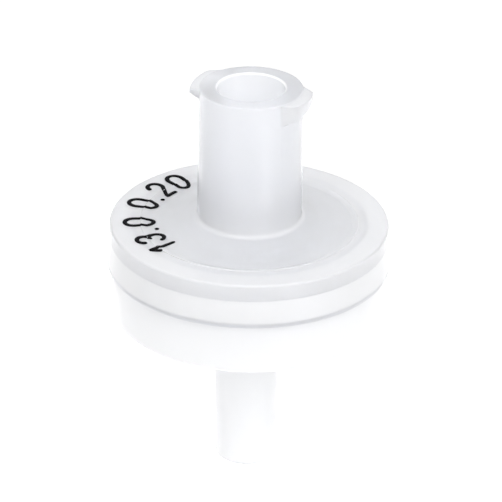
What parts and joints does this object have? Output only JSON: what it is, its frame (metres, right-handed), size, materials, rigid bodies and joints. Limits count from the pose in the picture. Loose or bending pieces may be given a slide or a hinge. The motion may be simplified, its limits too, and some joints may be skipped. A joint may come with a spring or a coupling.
{
  "type": "syringe filter",
  "caption": "Disposable disc filter for a syringe: welded plastic housing round a membrane, with a lugged Luer lock socket above and a tapered slip tip below.",
  "frame": {"origin": "centre of the inlet socket's rim, on the flow axis, where the syringe pushes on", "axes": "+Z along the flow axis and out of the inlet, so the outlet tip points down; the first lock lug lies between +X and -Y, and the print between -X and +Y"},
  "size_m": [0.0182, 0.0182, 0.0265],
  "materials": {
    "natural_polypropylene": "undyed translucent polypropylene, satin moulded",
    "membrane": "matte white microporous film",
    "print_ink": "black pad-printed ink"
  },
  "bodies": {
    "root": {"inlet_housing": "natural_polypropylene", "outlet_housing": "natural_polypropylene", "filter_membrane": "membrane"}
  },
  "joints": []
}
